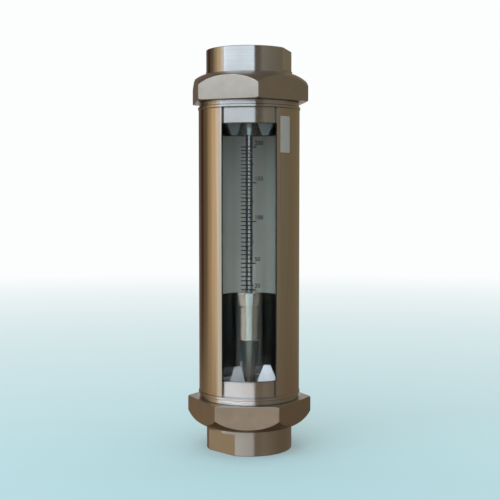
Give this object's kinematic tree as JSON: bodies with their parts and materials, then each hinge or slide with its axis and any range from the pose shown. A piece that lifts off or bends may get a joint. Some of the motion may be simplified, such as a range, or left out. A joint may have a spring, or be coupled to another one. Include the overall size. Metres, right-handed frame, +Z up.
{
  "type": "glass tube rotameter",
  "caption": "Upright variable-area flow meter: a glass tube with a rod-guided float in a slotted steel sleeve, with a union nut and a female-threaded pipe insert at each end.",
  "frame": {"origin": "centre of the lower pipe face, on the flow axis, where the meter stands", "axes": "+Z up the tube, the way the fluid flows; -Y out of the middle of the sleeve's window; +X to the right of someone who reads the scale"},
  "size_m": [0.117, 0.116, 0.375],
  "materials": {
    "turned_stainless": "fine turned, satin to bright",
    "cast_stainless": "investment cast, satin",
    "polished_stainless": "polished sheet",
    "machined_stainless": "machined",
    "cast_stop": "machined, satin",
    "ground_rod": "ground and polished",
    "float_stainless": "turned, polished",
    "ptfe": "machined, waxy",
    "nitrile_rubber": "moulded, matt",
    "borosilicate_glass": "drawn, clear",
    "white_ceramic_strip": "fired white enamel, satin"
  },
  "bodies": {
    "meter": {"backing_strip": "white_ceramic_strip", "glass_tube": "borosilicate_glass", "guide_rod": "ground_rod", "lower_end_piece": "turned_stainless", "lower_flat_gasket": "nitrile_rubber", "lower_float_stop": "cast_stop", "lower_gland_nut": "machined_stainless", "lower_glass_cushion": "nitrile_rubber", "lower_packing_ring": "ptfe", "lower_pipe_insert": "turned_stainless", "lower_rod_nut": "machined_stainless", "rod_ferrule": "machined_stainless", "sleeve": "polished_stainless", "sleeve_screws": "machined_stainless", "upper_end_piece": "turned_stainless", "upper_flat_gasket": "nitrile_rubber", "upper_float_stop": "cast_stop", "upper_gland_nut": "machined_stainless", "upper_glass_cushion": "nitrile_rubber", "upper_packing_ring": "ptfe", "upper_pipe_insert": "turned_stainless", "upper_rod_nut": "machined_stainless"},
    "float": {"float_body": "float_stainless", "float_head_bush": "ptfe", "float_nose": "float_stainless", "float_shank_bush": "ptfe"},
    "lower_washer": {"lower_slip_washer": "ptfe"},
    "lower_nut": {"lower_union_nut": "cast_stainless"},
    "upper_washer": {"upper_slip_washer": "ptfe"},
    "upper_nut": {"upper_union_nut": "cast_stainless"}
  },
  "joints": [
    {"name": "float_slide", "type": "slide", "parent": "meter", "child": "float", "axis": [0, 0, 1], "range_m": [0, 0.1484]},
    {"name": "lower_nut_travel", "type": "slide", "parent": "meter", "child": "lower_washer", "axis": [0, 0, -1], "range_m": [0, 0.01201]},
    {"name": "lower_nut_turn", "type": "hinge", "parent": "lower_washer", "child": "lower_nut", "pos_m": [0, 0, 0.034], "axis": [0, 0, -1], "range_deg": [0, 2160]},
    {"name": "upper_nut_travel", "type": "slide", "parent": "meter", "child": "upper_washer", "axis": [0, 0, 1], "range_m": [0, 0.01201]},
    {"name": "upper_nut_turn", "type": "hinge", "parent": "upper_washer", "child": "upper_nut", "pos_m": [0, 0, 0.341], "axis": [0, 0, 1], "range_deg": [0, 2160]}
  ],
  "couplings": [
    {"joint": "lower_nut_travel", "follows": "lower_nut_turn", "m_per_rad": 0.00031831},
    {"joint": "upper_nut_travel", "follows": "upper_nut_turn", "m_per_rad": 0.00031831}
  ]
}
